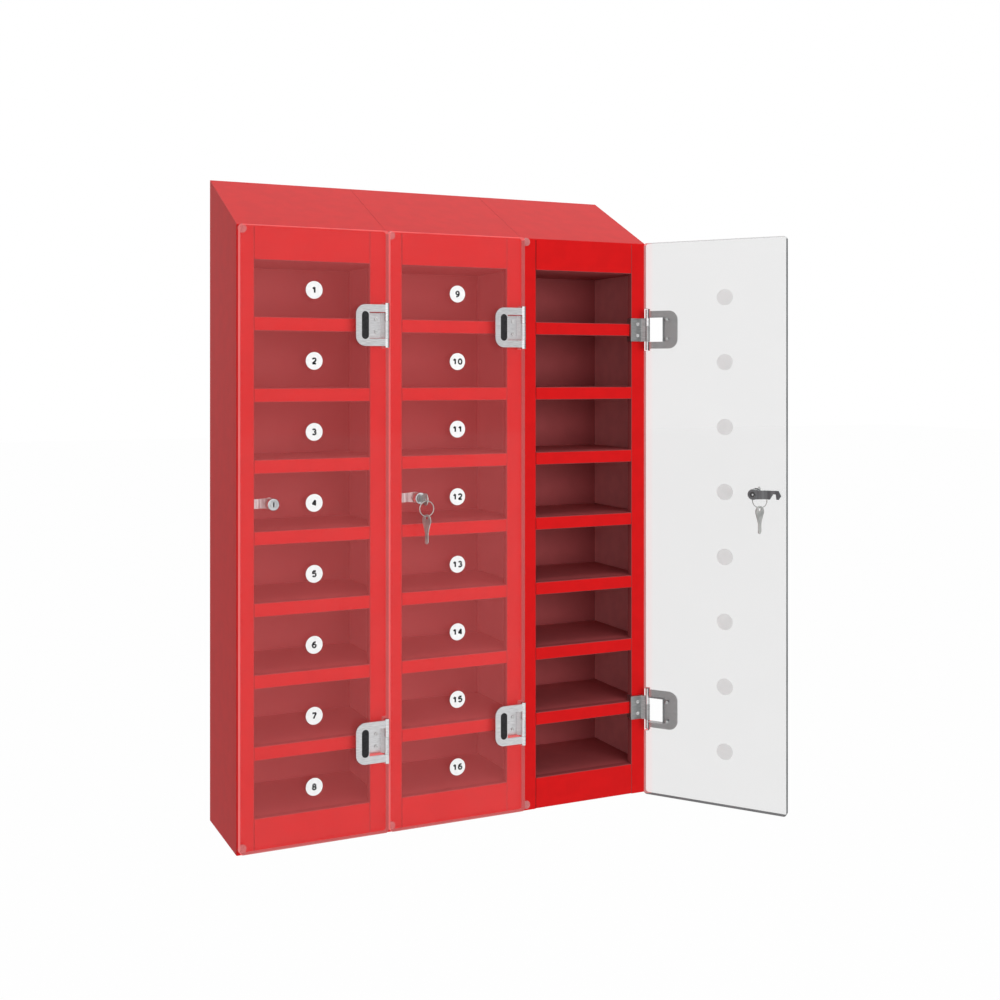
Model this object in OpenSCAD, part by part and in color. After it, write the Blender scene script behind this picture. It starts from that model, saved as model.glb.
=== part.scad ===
// Nest of three wall lockers for mobile phones. Each module is a folded steel
// box with eight open compartments behind one clear, full-height door.
// X runs along the front, Y from the front to the wall, Z up. The origin is
// the middle of the underside.

/* [Cabinet] */
// Width of one module
module_w = 250; // [230:1:320]
// Depth from the front face to the wall
cabinet_d = 168; // [140:1:240]
// Height of the header above the top compartment
header_h = 53; // [45:1:90]
// Clear height of one compartment
opening_h = 90; // [84:1:130]
// Height of a shelf's front lip
lip_h = 22; // [18:1:30]
// Height of the base panel below the bottom compartment
base_h = 53; // [45:1:90]
// Rise of the roof from the front to the back
roof_rise = 92; // [60:1:140]

/* [Sheet metal] */
// Thickness of the steel sheet
sheet = 1.5; // [1:0.1:2]
// Outer radius of the folds
fold_r = 2; // [2:0.1:3]
// Width of the stiles beside the compartments
stile_w = 28.5; // [25:0.5:36]
// Depth of the folded returns behind stiles, lips and header
return_d = 12; // [10:0.5:16]
// Clearance between one folded piece and the next
seam = 0.2; // [0.1:0.05:0.4]

/* [Door] */
// Thickness of the clear door
door_t = 12; // [8:0.5:14]
// Gap between the door and the front of the frame
door_gap = 3; // [2.5:0.5:5]
// Distance of the door's edges from the module's sides
door_side = 1.5; // [1:0.5:4]
// Distance of the door's top edge below the front fold of the roof
door_top = 1; // [0:0.5:6]
// Distance of the door's bottom edge above the underside
door_bottom = 5; // [1:0.5:15]
// Corner radius of the door
door_corner = 5; // [2:0.5:8]
// Angle at which each door stands
door_angle = [0, 0, 128];

/* [Hinges] */
// Distance of the hinge axis from the module's right side
pivot_side = 4.5; // [4:0.1:6]
// Outer radius of the knuckles
knuckle_r = 3.9; // [2.9:0.1:4]
// Radius of the hinge pin
pin_r = 1.6; // [1.2:0.05:1.7]
// Radial clearance of the pin in the knuckles
pin_fit = 0.05; // [0.02:0.01:0.1]
// Length of the three knuckles together
barrel_h = 72; // [60:1:90]
// Width of the door plate beside its window
plate_rim = 23; // [18:0.5:30]
// Thickness of the door plate
plate_t = 2; // [1.5:0.1:3]
// Height of the plate's arms above and below its window
plate_arm = 12; // [9:0.2:15]
// Corner radius of the plate at its free side
plate_corner = 16; // [8:0.5:18]
// Distance that the frame leaf reaches past the stile's inner edge
leaf_past = 4.5; // [3:0.5:8]
// Gap between the frame leaf and the door's window, at its free side
leaf_gap = 2.5; // [1.5:0.5:5]
// Distance that the frame leaf stands above and below the lip
leaf_over = 9.5; // [7:0.5:12]
// Thickness of the frame leaf
leaf_t = 5.5; // [4:0.5:8]
// Distance of the leaf's screws from the module's right side
leaf_screw_side = 19.5; // [18:0.5:22]
// Distance between the leaf's two screws
leaf_screw_pitch = 20.4; // [18:0.2:24]
// Distance between the door plate's two rivets
rivet_pitch = 34; // [30:1:38]
// Width of the black cover strip
cover_w = 12; // [10:0.5:14]
// Height of the black cover strip
cover_h = 45; // [44:0.5:52]

/* [Lock] */
// Distance of the lock from the edge of the stile
lock_from_stile = 26; // [24:0.5:34]
// Distance of lock and discs below the middle of their compartment
label_drop = 2; // [0:0.5:6]
// Compartment that the lock stands in front of, from the top
lock_row = 4; // [2:1:6]
// Radius of the lock's head
lock_head_r = 9.5; // [9:0.1:12]
// Radius of the lock's body
lock_body_r = 7; // [6.8:0.1:8.5]
// Radius of the turning plug
plug_r = 5; // [4.8:0.1:5.6]
// Height of the lock's head in front of the door
lock_head_t = 3; // [2:0.1:4]
// Clearance of the cam's tip below the lip above it
cam_swing_gap = 1; // [1:0.1:3]
// Clearance of the locked cam's tip beside the side panel
cam_side_gap = 2; // [1:0.5:4]
// Thickness of the cam
cam_t = 2; // [1.5:0.1:2.4]

/* [Keys and discs] */
// Radius of a number disc
disc_r = 14; // [10:0.5:18]
// Distance of each door's discs from its middle, to the left
disc_left = [3.5, 3.5, 17];
// Thickness of a key
key_t = 1.8; // [1.4:0.1:2]
// Radius of the key ring to the middle of its wire
ring_r = 12.4; // [11:0.1:15]
// Radius of the ring's wire
wire_r = 0.8; // [0.6:0.05:0.9]
// Turn of each spare key on its ring
spare_turn = [90, 110, 60];

/* [Hidden] */
$fn = 48;
rows = 8;
pitch = opening_h + lip_h;
front_h = header_h + rows * opening_h + (rows - 1) * lip_h + base_h;
header_z = front_h - header_h;
header_low = header_z - 1;
roof_angle = atan(roof_rise / cabinet_d);
roof_drop = sheet / cos(roof_angle);
running = 0.2;
eps = 0.01;
back_top = front_h + roof_rise - roof_drop - 0.05;

// Hinges stand at the first and the last shelf lip
hinge_z = [shelf_z(1) - lip_h / 2, shelf_z(rows - 1) - lip_h / 2];
pivot_x = module_w - pivot_side;
door_back = -door_gap;
door_front = -door_gap - door_t;
pivot_y = door_front - 0.4;
leaf_h = lip_h + 2 * leaf_over;
leaf_left = module_w - stile_w - leaf_past;
window_h = leaf_h + 2;
window_w = pivot_x - leaf_left + leaf_gap;
plate_w = window_w + plate_rim;
plate_h = window_h + 2 * plate_arm;
relief = pivot_side + knuckle_r + 0.6;
knuckle_top = round(leaf_h / 3) / 2;
knuckle_low = -leaf_h / 2 - 0.5;
rivet_x = window_w + 1 + cover_w / 2;
rivet_r = 1.8;
leaf_screw_r = 2;

// Fixing holes in the back panels, hidden behind the left stile
wall_hole_r = 4;
wall_hole_x = 50;
wall_hole_z = [base_h + 30, header_z - 30];

// Nesting bolts stand in the base void and in the roof void
nest_r = 3;
nest_y = cabinet_d - 45;
nest_z = [base_h / 2, header_z + header_h + 25];

lock_x = stile_w + lock_from_stile;
lock_z = row_z(lock_row) + opening_h / 2 - label_drop;
lock_face = door_front - lock_head_t;
cam_y = 6;
cam_crank = cam_y - sheet - 0.9;
cam_reach = min(opening_h / 2 + label_drop - cam_swing_gap, lock_x - sheet - cam_side_gap);
cam_half = 7.5;
cam_eye = 9;
tail = 6.4;
tail_end = cam_y + cam_t - 0.2;
bolt_r = 2;
keyway_end = cam_y - 3;

key_hole_s = 22.5;
key_hole_r = 3.2;
bow_s = 18;
bow_r = 10;
key_gap = 0.2;
blade_half = 3.7;
blade_l = keyway_end - lock_face - 2 * key_gap;
ring_y = lock_face - key_gap - key_hole_s;
ring_top = lock_z - key_hole_r + wire_r + key_gap;
ring_low = ring_top - 2 * ring_r;
spare_z = ring_low - key_hole_r + wire_r + key_gap;

// Height of the floor of a compartment, counted from the top
function row_z(k) = header_z - k * opening_h - (k - 1) * lip_h;
// Height of the top of a shelf, which is the floor of compartment k
function shelf_z(k) = row_z(k);
function arc(x, y, r, from, to, n = 6) =
    [for (i = [0:n]) [x + r * cos(from + (to - from) * i / n), y + r * sin(from + (to - from) * i / n)]];

// Places a piece in a module: its own frame starts at the left side, on the
// front face, at the underside
module in_column(i) {
    translate([(i - 2.5) * module_w, -cabinet_d / 2, 0]) children();
}

// Places a piece that swings with a module's door
module on_door(i) {
    in_column(i)
        translate([pivot_x, pivot_y, 0])
            rotate([0, 0, door_angle[i - 1]])
                translate([-pivot_x, -pivot_y, 0]) children();
}

// Extrudes an outline drawn across the depth and the height, along X
module along_x(from, to) {
    translate([from, 0, 0]) rotate([90, 0, 90]) linear_extrude(to - from) children();
}

// Extrudes an outline drawn as seen from the front, along Y
module along_y(from, to) {
    translate([0, to, 0]) rotate([90, 0, 0]) linear_extrude(to - from) children();
}

// A round rod along Y
module rod_y(x, z, r, from, to) {
    translate([x, to, z]) rotate([90, 0, 0]) cylinder(r = r, h = to - from);
}

// Side panel: side, front stile and its return, folded from one sheet
module side_profile() {
    polygon(concat(
        [[0, cabinet_d]],
        arc(fold_r, fold_r, fold_r, 180, 270),
        arc(stile_w - fold_r, fold_r, fold_r, 270, 360),
        [[stile_w, return_d], [stile_w - sheet, return_d], [stile_w - sheet, sheet],
         [sheet, sheet], [sheet, cabinet_d]]));
}

module side_blank() {
    intersection() {
        linear_extrude(front_h + roof_rise) side_profile();
        along_x(-1, stile_w + 1)
            polygon([[-1, 0], [cabinet_d, 0], [cabinet_d, front_h + roof_rise - roof_drop],
                     [-1, front_h - roof_drop - tan(roof_angle)]]);
    }
}

module nesting_holes() {
    for (z = nest_z)
        translate([-1, nest_y, z]) rotate([0, 90, 0]) cylinder(r = nest_r + 0.2, h = sheet + 2);
}

module side_left(i) {
    color("firebrick") in_column(i) difference() {
        side_blank();
        // Slot in the return that the cam swings through
        translate([stile_w - sheet - 1, sheet + eps, lock_z - cam_eye - 1])
            cube([sheet + 2, return_d, cam_reach + cam_eye + 2]);
        if (i > 1) nesting_holes();
    }
}

module side_right(i) {
    color("firebrick") in_column(i) translate([module_w, 0, 0]) mirror([1, 0, 0]) difference() {
        side_blank();
        for (z = hinge_z, s = [-1, 1])
            rod_y(leaf_screw_side, z + s * leaf_screw_pitch / 2, leaf_screw_r + 0.1, -1, sheet + 1);
        if (i < 3) nesting_holes();
    }
}

// Back panel between the sides, with its two fixing holes
module back(i) {
    color("indianred") in_column(i) difference() {
        along_x(sheet, module_w - sheet)
            polygon([[cabinet_d - sheet, 0], [cabinet_d, 0], [cabinet_d, back_top],
                     [cabinet_d - sheet, back_top - sheet * tan(roof_angle)]]);
        for (z = wall_hole_z) rod_y(wall_hole_x, z, wall_hole_r, cabinet_d - sheet - 1, cabinet_d + 1);
    }
}

// Fold between the header and the roof
module roof_profile() {
    bend = fold_r * tan((90 - roof_angle) / 2);
    polygon(concat(
        [[return_d, header_low]],
        arc(fold_r, header_low + fold_r, fold_r, 270, 180),
        arc(fold_r, front_h - bend, fold_r, 180, 90 + roof_angle),
        [[cabinet_d, front_h + roof_rise], [cabinet_d, front_h + roof_rise - roof_drop],
         [sheet, front_h + sheet * tan(roof_angle) - roof_drop], [sheet, header_low + sheet],
         [return_d, header_low + sheet]]));
}

module roof_plate_profile() {
    bend = fold_r * tan((90 - roof_angle) / 2);
    polygon(concat(
        [[0, front_h - roof_drop]],
        arc(fold_r, front_h - bend, fold_r, 180, 90 + roof_angle),
        [[cabinet_d, front_h + roof_rise], [cabinet_d, front_h + roof_rise - roof_drop]]));
}

// Roof over the whole module, folded down between the stiles as the header
module roof(i) {
    color("indianred") in_column(i) {
        along_x(stile_w + seam, module_w - stile_w - seam) roof_profile();
        along_x(seam, stile_w + 2 * seam) roof_plate_profile();
        along_x(module_w - stile_w - 2 * seam, module_w - seam) roof_plate_profile();
    }
}

// Level pan between the side panels, behind the returns
module pan(z) {
    translate([sheet + seam, return_d + seam, z])
        cube([module_w - 2 * sheet - 2 * seam, cabinet_d - sheet - return_d - 2 * seam, sheet]);
}

module base_profile() {
    polygon(concat(
        [[cabinet_d - sheet - seam, 0]],
        arc(fold_r, fold_r, fold_r, 270, 180),
        arc(fold_r, base_h - fold_r, fold_r, 180, 90),
        [[cabinet_d - sheet - seam, base_h], [cabinet_d - sheet - seam, base_h - sheet],
         [sheet, base_h - sheet], [sheet, sheet], [cabinet_d - sheet - seam, sheet]]));
}

// Base: underside, front panel and floor of the bottom compartment
module base(i) {
    color("firebrick") in_column(i) {
        along_x(stile_w + seam, module_w - stile_w - seam) base_profile();
        pan(0);
        pan(base_h - sheet);
    }
}

module shelf_profile() {
    polygon(concat(
        [[return_d - 2, -lip_h]],
        arc(fold_r, fold_r - lip_h, fold_r, 270, 180),
        arc(fold_r, -fold_r, fold_r, 180, 90),
        [[cabinet_d - sheet - seam, 0], [cabinet_d - sheet - seam, -sheet], [sheet, -sheet],
         [sheet, sheet - lip_h], [return_d - 2, sheet - lip_h]]));
}

// Seven shelves with folded lips, and the ceiling tray over the top compartment
module shelves(i) {
    color("brown") in_column(i) {
        for (k = [1:rows - 1]) translate([0, 0, shelf_z(k)]) {
            along_x(stile_w + seam, module_w - stile_w - seam) shelf_profile();
            pan(-sheet);
        }
        pan(header_z);
    }
}

// Frame leaf of one hinge: pad on the stile, tabs round its edge and a flare
// that carries the middle knuckle and stops short of the other two
module frame_leaf() {
    middle = knuckle_top - knuckle_low - 2 * running;
    difference() {
        union() {
            translate([leaf_left, -leaf_t, -leaf_h / 2]) cube([module_w - 9 - leaf_left, leaf_t, leaf_h]);
            for (s = [0, 1]) mirror([0, 0, s])
                translate([module_w - stile_w - 1.5 - seam, -1, lip_h / 2 + 0.3])
                    cube([1.5, return_d, leaf_h / 2 - lip_h / 2 - 0.3]);
            difference() {
                translate([0, 0, -leaf_h / 2]) linear_extrude(leaf_h)
                    polygon([[module_w - 12, 0], [module_w - 12, -leaf_t],
                             [pivot_x - 2.2, pivot_y + 0.8], [pivot_x + 0.9, pivot_y + 2.2],
                             [module_w - 6, -leaf_t + 1.5], [module_w - 6, 0]]);
                translate([pivot_x, pivot_y, knuckle_top - running])
                    cylinder(r = knuckle_r + 0.4, h = leaf_h);
            }
            translate([pivot_x, pivot_y, knuckle_low + running]) cylinder(r = knuckle_r, h = middle);
        }
        translate([pivot_x, pivot_y, -barrel_h]) cylinder(r = pin_r + pin_fit, h = 2 * barrel_h);
        for (s = [-1, 1])
            rod_y(module_w - leaf_screw_side, s * leaf_screw_pitch / 2, leaf_screw_r + 0.1, -leaf_t - 1, 1);
    }
}

module hinge_frame_leaves() {
    color("gainsboro") for (i = [1:3], z = hinge_z) in_column(i) translate([0, 0, z]) frame_leaf();
}

// Pan-head screws with a cross recess
module hinge_frame_screws() {
    color("silver") for (i = [1:3], z = hinge_z, s = [-1, 1])
        in_column(i) translate([module_w - leaf_screw_side, 0, z + s * leaf_screw_pitch / 2]) difference() {
            union() {
                rod_y(0, 0, 3, -leaf_t - 1.4, -leaf_t);
                rod_y(0, 0, leaf_screw_r, -leaf_t, sheet + 4.5);
            }
            for (a = [0, 90]) translate([0, -leaf_t - 1.4, 0]) rotate([0, a, 0])
                cube([3.4, 1.6, 0.8], center = true);
        }
}

module hinge_pins() {
    color("silver") for (i = [1:3], z = hinge_z) in_column(i)
        translate([pivot_x, pivot_y, z - barrel_h / 2]) cylinder(r = pin_r, h = barrel_h);
}

module nesting_bolts() {
    color("silver") for (i = [2:3], z = nest_z) in_column(i) translate([0, nest_y, z]) rotate([0, 90, 0]) {
        translate([0, 0, sheet]) cylinder(r = 5.5, h = 4, $fn = 6);
        translate([0, 0, -sheet - 8]) cylinder(r = nest_r, h = 2 * sheet + 8);
    }
}

module nesting_nuts() {
    color("silver") for (i = [2:3], z = nest_z) in_column(i)
        translate([-sheet - 5, nest_y, z]) rotate([0, 90, 0]) difference() {
            cylinder(r = 5.8, h = 5, $fn = 6);
            translate([0, 0, -1]) cylinder(r = nest_r + 0.05, h = 7);
        }
}

// Soft round buffers at the free-edge corners of each frame
module door_buffers() {
    color("salmon") for (i = [1:3], z = [10, front_h - 6.3]) in_column(i)
        rod_y(8.5, z, 7, 0.5 - door_gap, 0);
}

// Outline of the door, notched at each hinge for the barrel and the window
module door_outline() {
    left = door_side;
    right = module_w - door_side;
    top = front_h - door_top;
    function notch(z) = [
        [right, z - barrel_h / 2 - 1], [module_w - relief, z - barrel_h / 2 - 1],
        [module_w - relief, z - window_h / 2], [pivot_x - window_w, z - window_h / 2],
        [pivot_x - window_w, z + window_h / 2], [module_w - relief, z + window_h / 2],
        [module_w - relief, z + barrel_h / 2 + 1], [right, z + barrel_h / 2 + 1]];
    polygon(concat(
        arc(left + door_corner, door_bottom + door_corner, door_corner, 180, 270),
        arc(right - door_corner, door_bottom + door_corner, door_corner, 270, 360),
        notch(hinge_z[1]), notch(hinge_z[0]),
        arc(right - door_corner, top - door_corner, door_corner, 0, 90),
        arc(left + door_corner, top - door_corner, door_corner, 90, 180)));
}

module door(i) {
    color([0.9, 0.9, 0.95, 0.35]) on_door(i) difference() {
        along_y(door_front, door_back) door_outline();
        rod_y(lock_x, lock_z, lock_body_r + 0.1, door_front - 1, door_back + 1);
        for (z = hinge_z, s = [-1, 1])
            rod_y(pivot_x - rivet_x, z + s * rivet_pitch / 2, rivet_r + 0.05, door_front - 1, door_back + 1);
    }
}

module number_discs(i) {
    color("white") on_door(i) for (k = [1:rows])
        rod_y(module_w / 2 - disc_left[i - 1], row_z(k) + opening_h / 2 - label_drop, disc_r,
              door_front - 0.6, door_front);
}

// Door plate of one hinge: a ring open towards the barrel, with two knuckles
module hinge_plate() {
    free = -plate_w;
    difference() {
        union() {
            along_y(door_front - plate_t, door_front) polygon(concat(
                [[-1, window_h / 2], [-window_w, window_h / 2], [-window_w, -window_h / 2],
                 [-1, -window_h / 2], [-1, -plate_h / 2]],
                arc(free + plate_corner, plate_corner - plate_h / 2, plate_corner, 270, 180, 10),
                arc(free + plate_corner, plate_h / 2 - plate_corner, plate_corner, 180, 90, 10),
                [[-1, plate_h / 2]]));
            translate([0, pivot_y, knuckle_top])
                cylinder(r = knuckle_r, h = barrel_h / 2 - knuckle_top);
            translate([0, pivot_y, -barrel_h / 2])
                cylinder(r = knuckle_r, h = barrel_h / 2 + knuckle_low);
        }
        translate([0, pivot_y, -barrel_h]) cylinder(r = pin_r + pin_fit, h = 2 * barrel_h);
        for (s = [-1, 1])
            rod_y(-rivet_x, s * rivet_pitch / 2, rivet_r + 0.05, door_front - plate_t - 1, door_front + 1);
    }
}

module hinge_plates(i) {
    color("gainsboro") on_door(i) for (z = hinge_z) translate([pivot_x, 0, z]) hinge_plate();
}

module hinge_covers(i) {
    color("black") on_door(i) for (z = hinge_z) translate([pivot_x - rivet_x, 0, z])
        along_y(door_front - plate_t - 1.4, door_front - plate_t) polygon(concat(
            arc(0, (cover_h - cover_w) / 2, cover_w / 2, 0, 180, 12),
            arc(0, (cover_w - cover_h) / 2, cover_w / 2, 180, 360, 12)));
}

// Rivets through door plate and door, with a low dome on the inside
module plate_rivets(i) {
    color("silver") on_door(i) for (z = hinge_z, s = [-1, 1])
        translate([pivot_x - rivet_x, door_back, z + s * rivet_pitch / 2]) rotate([-90, 0, 0]) rotate_extrude()
            polygon([[0, -door_t - plate_t], [rivet_r, -door_t - plate_t], [rivet_r, 0], [3, 0], [3, 0.4],
                     [2.4, 1], [1.4, 1.4], [0, 1.5]]);
}

module lock_body(i) {
    color("silver") on_door(i) translate([lock_x, door_front, lock_z]) rotate([-90, 0, 0]) rotate_extrude()
        polygon([[plug_r + 0.05, -lock_head_t], [lock_head_r - 1, -lock_head_t],
                 [lock_head_r, 1 - lock_head_t], [lock_head_r, 0], [lock_body_r, 0],
                 [lock_body_r, cam_y - 0.3 - door_front], [plug_r + 0.05, cam_y - 0.3 - door_front]]);
}

module lock_nut(i) {
    color("silver") on_door(i) translate([lock_x, door_back, lock_z]) rotate([-90, 0, 0]) difference() {
        cylinder(r = lock_body_r + 2.6, h = 4, $fn = 6);
        translate([0, 0, -1]) cylinder(r = lock_body_r + 0.05, h = 6);
    }
}

// Plug with its keyway, a square tail for the cam and a threaded hole
module lock_plug(i) {
    color("darkgray") on_door(i) translate([lock_x, 0, lock_z]) difference() {
        union() {
            rod_y(0, 0, plug_r, lock_face, cam_y - 0.3);
            translate([-tail / 2, cam_y - 1, -tail / 2]) cube([tail, tail_end - cam_y + 1, tail]);
        }
        translate([-key_t / 2 - 0.1, lock_face - 1, -blade_half - 0.1])
            cube([key_t + 0.2, keyway_end - lock_face + 1, 2 * blade_half + 0.2]);
        rod_y(0, 0, bolt_r + 0.05, keyway_end + 0.8, tail_end + 1);
    }
}

// Cam: an eye round the tail and an arm cranked towards the stile, with a
// notch in its lower edge
module lock_cam(i) {
    back = cam_y + cam_t;
    color("dimgray") on_door(i) translate([lock_x, 0, lock_z]) difference() {
        union() {
            rod_y(0, 0, cam_eye, cam_y, back);
            intersection() {
                along_y(0, back + 1) polygon([
                    [0, 8.5], [-12, cam_half], [4 - cam_reach, cam_half], [-cam_reach, -1],
                    [4 - cam_reach, -cam_half], [-cam_reach * 0.83, -cam_half], [-cam_reach * 0.8, 1.5],
                    [-cam_reach * 0.72, 1.5], [-cam_reach * 0.6, -cam_half], [-12, -cam_half], [0, -8.5]]);
                translate([0, 0, -20]) linear_extrude(40) polygon([
                    [0, cam_y], [0, back], [-15, back], [-18, back - cam_crank], [-cam_reach - 1, back - cam_crank],
                    [-cam_reach - 1, cam_y - cam_crank], [-19, cam_y - cam_crank], [-16, cam_y]]);
            }
        }
        translate([-tail / 2 - 0.05, cam_y - 1, -tail / 2 - 0.05]) cube([tail + 0.1, cam_t + 2, tail + 0.1]);
    }
}

module cam_bolt(i) {
    color("silver") on_door(i) translate([lock_x, 0, lock_z]) {
        translate([0, cam_y + cam_t, 0]) rotate([-90, 0, 0]) cylinder(r = 4.4, h = 2.5, $fn = 6);
        rod_y(0, 0, bolt_r, keyway_end + 1, cam_y + cam_t);
    }
}

// Outline of a key, with the blade's shoulder at 0 and the bow above it
module key_outline() {
    bite = [for (k = [1:5]) [-k * blade_l / 6.5, k % 2 == 0 ? -blade_half + 2.2 : -blade_half + 0.9]];
    polygon(concat(
        [[-blade_l + 2, blade_half - 1], [-blade_l, 0], [-blade_l + 2, -blade_half]],
        [for (k = [5:-1:1]) each [[bite[k - 1][0] - 0.9, -blade_half], bite[k - 1], [bite[k - 1][0] + 0.9, -blade_half]]],
        [[0, -blade_half], [0, -5], [3, -5]],
        arc(bow_s, 0, bow_r, -104, 104, 24),
        [[3, 5], [0, 5], [0, blade_half], [-blade_l + 3, blade_half]]));
}

module key_blank() {
    difference() {
        linear_extrude(key_t, center = true) key_outline();
        translate([key_hole_s, 0, 0]) cylinder(r = key_hole_r, h = key_t + 2, center = true);
    }
}

// Key in the lock, standing upright
module key(i) {
    color("silver") on_door(i) translate([lock_x, lock_face - key_gap, lock_z])
        rotate([0, 90, 0]) rotate([0, 0, -90]) key_blank();
}

module key_ring(i) {
    color("silver") on_door(i) translate([lock_x, ring_y, ring_top - ring_r])
        rotate([90, 0, 0]) rotate_extrude() translate([ring_r, 0]) circle(r = wire_r, $fn = 24);
}

// Spare key, hanging from the ring by its hole
module spare_key(i) {
    color("silver") on_door(i) translate([lock_x, ring_y, spare_z]) rotate([0, 0, spare_turn[i - 1]])
        rotate([0, -90, 90]) translate([-key_hole_s, 0, 0]) key_blank();
}

side_left(1);  // side_left_1
side_left(2);  // side_left_2
side_left(3);  // side_left_3
side_right(1);  // side_right_1
side_right(2);  // side_right_2
side_right(3);  // side_right_3
back(1);  // back_1
back(2);  // back_2
back(3);  // back_3
roof(1);  // roof_1
roof(2);  // roof_2
roof(3);  // roof_3
base(1);  // base_1
base(2);  // base_2
base(3);  // base_3
shelves(1);  // shelves_1
shelves(2);  // shelves_2
shelves(3);  // shelves_3
hinge_frame_leaves();
hinge_frame_screws();
hinge_pins();
nesting_bolts();
nesting_nuts();
door_buffers();
door(1);  // door_1
door(2);  // door_2
door(3);  // door_3
number_discs(1);  // number_discs_1
number_discs(2);  // number_discs_2
number_discs(3);  // number_discs_3
hinge_plates(1);  // hinge_plates_1
hinge_plates(2);  // hinge_plates_2
hinge_plates(3);  // hinge_plates_3
hinge_covers(1);  // hinge_covers_1
hinge_covers(2);  // hinge_covers_2
hinge_covers(3);  // hinge_covers_3
plate_rivets(1);  // plate_rivets_1
plate_rivets(2);  // plate_rivets_2
plate_rivets(3);  // plate_rivets_3
lock_body(1);  // lock_body_1
lock_body(2);  // lock_body_2
lock_body(3);  // lock_body_3
lock_nut(1);  // lock_nut_1
lock_nut(2);  // lock_nut_2
lock_nut(3);  // lock_nut_3
lock_plug(1);  // lock_plug_1
lock_plug(2);  // lock_plug_2
lock_plug(3);  // lock_plug_3
lock_cam(1);  // lock_cam_1
lock_cam(2);  // lock_cam_2
lock_cam(3);  // lock_cam_3
cam_bolt(1);  // cam_bolt_1
cam_bolt(2);  // cam_bolt_2
cam_bolt(3);  // cam_bolt_3
key(2);  // key_2
key(3);  // key_3
key_ring(2);  // key_ring_2
key_ring(3);  // key_ring_3
spare_key(2);  // spare_key_2
spare_key(3);  // spare_key_3
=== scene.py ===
import math

import bmesh
import bpy
from mathutils import Matrix, Vector


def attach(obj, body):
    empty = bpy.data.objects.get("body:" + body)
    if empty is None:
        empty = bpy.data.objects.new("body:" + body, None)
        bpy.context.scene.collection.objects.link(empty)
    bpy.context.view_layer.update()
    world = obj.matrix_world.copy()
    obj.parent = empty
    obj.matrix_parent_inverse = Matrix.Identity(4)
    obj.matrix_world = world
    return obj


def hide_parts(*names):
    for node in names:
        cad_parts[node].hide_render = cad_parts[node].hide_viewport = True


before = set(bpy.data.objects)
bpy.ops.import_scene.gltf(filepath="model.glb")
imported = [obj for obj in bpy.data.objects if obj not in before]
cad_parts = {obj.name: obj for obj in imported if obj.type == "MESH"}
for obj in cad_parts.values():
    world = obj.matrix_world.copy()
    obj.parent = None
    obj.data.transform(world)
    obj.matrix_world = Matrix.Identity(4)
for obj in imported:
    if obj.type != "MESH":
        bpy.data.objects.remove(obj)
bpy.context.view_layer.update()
mm = 0.001


# The camera stands to the left of the nest, level, a little above half its
# height, and looks a quarter of a right angle to the right.
eye = bpy.data.cameras.new("eye")
eye.lens = 44.61
eye.sensor_width = 36
eye.shift_x = 0.0854
eye.shift_y = -0.1249
eye_stand = bpy.data.objects.new("eye", eye)
eye_stand.location = (-0.8843, -1.9568, 0.7456)
eye_stand.rotation_euler = (math.radians(90), 0, math.radians(-23.39))
bpy.context.collection.objects.link(eye_stand)
bpy.context.scene.camera = eye_stand
bpy.context.scene.view_settings.view_transform = "Standard"


# The studio: a pale room round the nest, brighter above and at the left, with
# a broad soft light in front of it and another over it.
room = bpy.data.worlds.new("room")
bpy.context.scene.world = room
room.use_nodes = True
room_nodes = room.node_tree.nodes
room_links = room.node_tree.links
room_nodes.clear()


def calculate(nodes, links, operation, *values):
    """A math node on these values, each a number or a socket."""
    node = nodes.new("ShaderNodeMath")
    node.operation = operation
    for place, value in enumerate(values):
        if isinstance(value, (int, float)):
            node.inputs[place].default_value = value
        else:
            links.new(value, node.inputs[place])
    return node.outputs[0]


def seen_directly(nodes, links, glossy=True):
    """1 for rays that look at the room, 0 for those that only bring light."""
    path = nodes.new("ShaderNodeLightPath")
    seen = calculate(nodes, links, "MAXIMUM",
                     path.outputs["Is Camera Ray"], path.outputs["Is Transmission Ray"])
    if glossy:
        seen = calculate(nodes, links, "MAXIMUM", seen, path.outputs["Is Glossy Ray"])
    return seen


room_way = room_nodes.new("ShaderNodeTexCoord")
room_lean = room_nodes.new("ShaderNodeVectorMath")
room_lean.operation = "DOT_PRODUCT"
room_lean.inputs[1].default_value = (-0.6, 0, 0.8)
room_links.new(room_way.outputs["Generated"], room_lean.inputs[0])
room_glow = room_nodes.new("ShaderNodeMapRange")
for socket, value in (("From Min", -0.45), ("From Max", 0.05), ("To Min", 0.30), ("To Max", 1.25)):
    room_glow.inputs[socket].default_value = value
room_links.new(room_lean.outputs["Value"], room_glow.inputs["Value"])
room_path = room_nodes.new("ShaderNodeLightPath")
mirrored = calculate(room_nodes, room_links, "MULTIPLY",
                     room_path.outputs["Is Glossy Ray"], room_glow.outputs["Result"])
looked_at = seen_directly(room_nodes, room_links, glossy=False)
bringing = calculate(room_nodes, room_links, "SUBTRACT", 1.0, seen_directly(room_nodes, room_links))
room_strength = 0.46
light = calculate(room_nodes, room_links, "MULTIPLY", bringing, room_strength)
light = calculate(room_nodes, room_links, "ADD", light, mirrored)
light = calculate(room_nodes, room_links, "MAXIMUM", light, looked_at)
room_light = room_nodes.new("ShaderNodeBackground")
room_light.inputs["Color"].default_value = (1, 1, 1, 1)
room_out = room_nodes.new("ShaderNodeOutputWorld")
room_links.new(light, room_light.inputs["Strength"])
room_links.new(room_light.outputs[0], room_out.inputs["Surface"])


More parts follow.
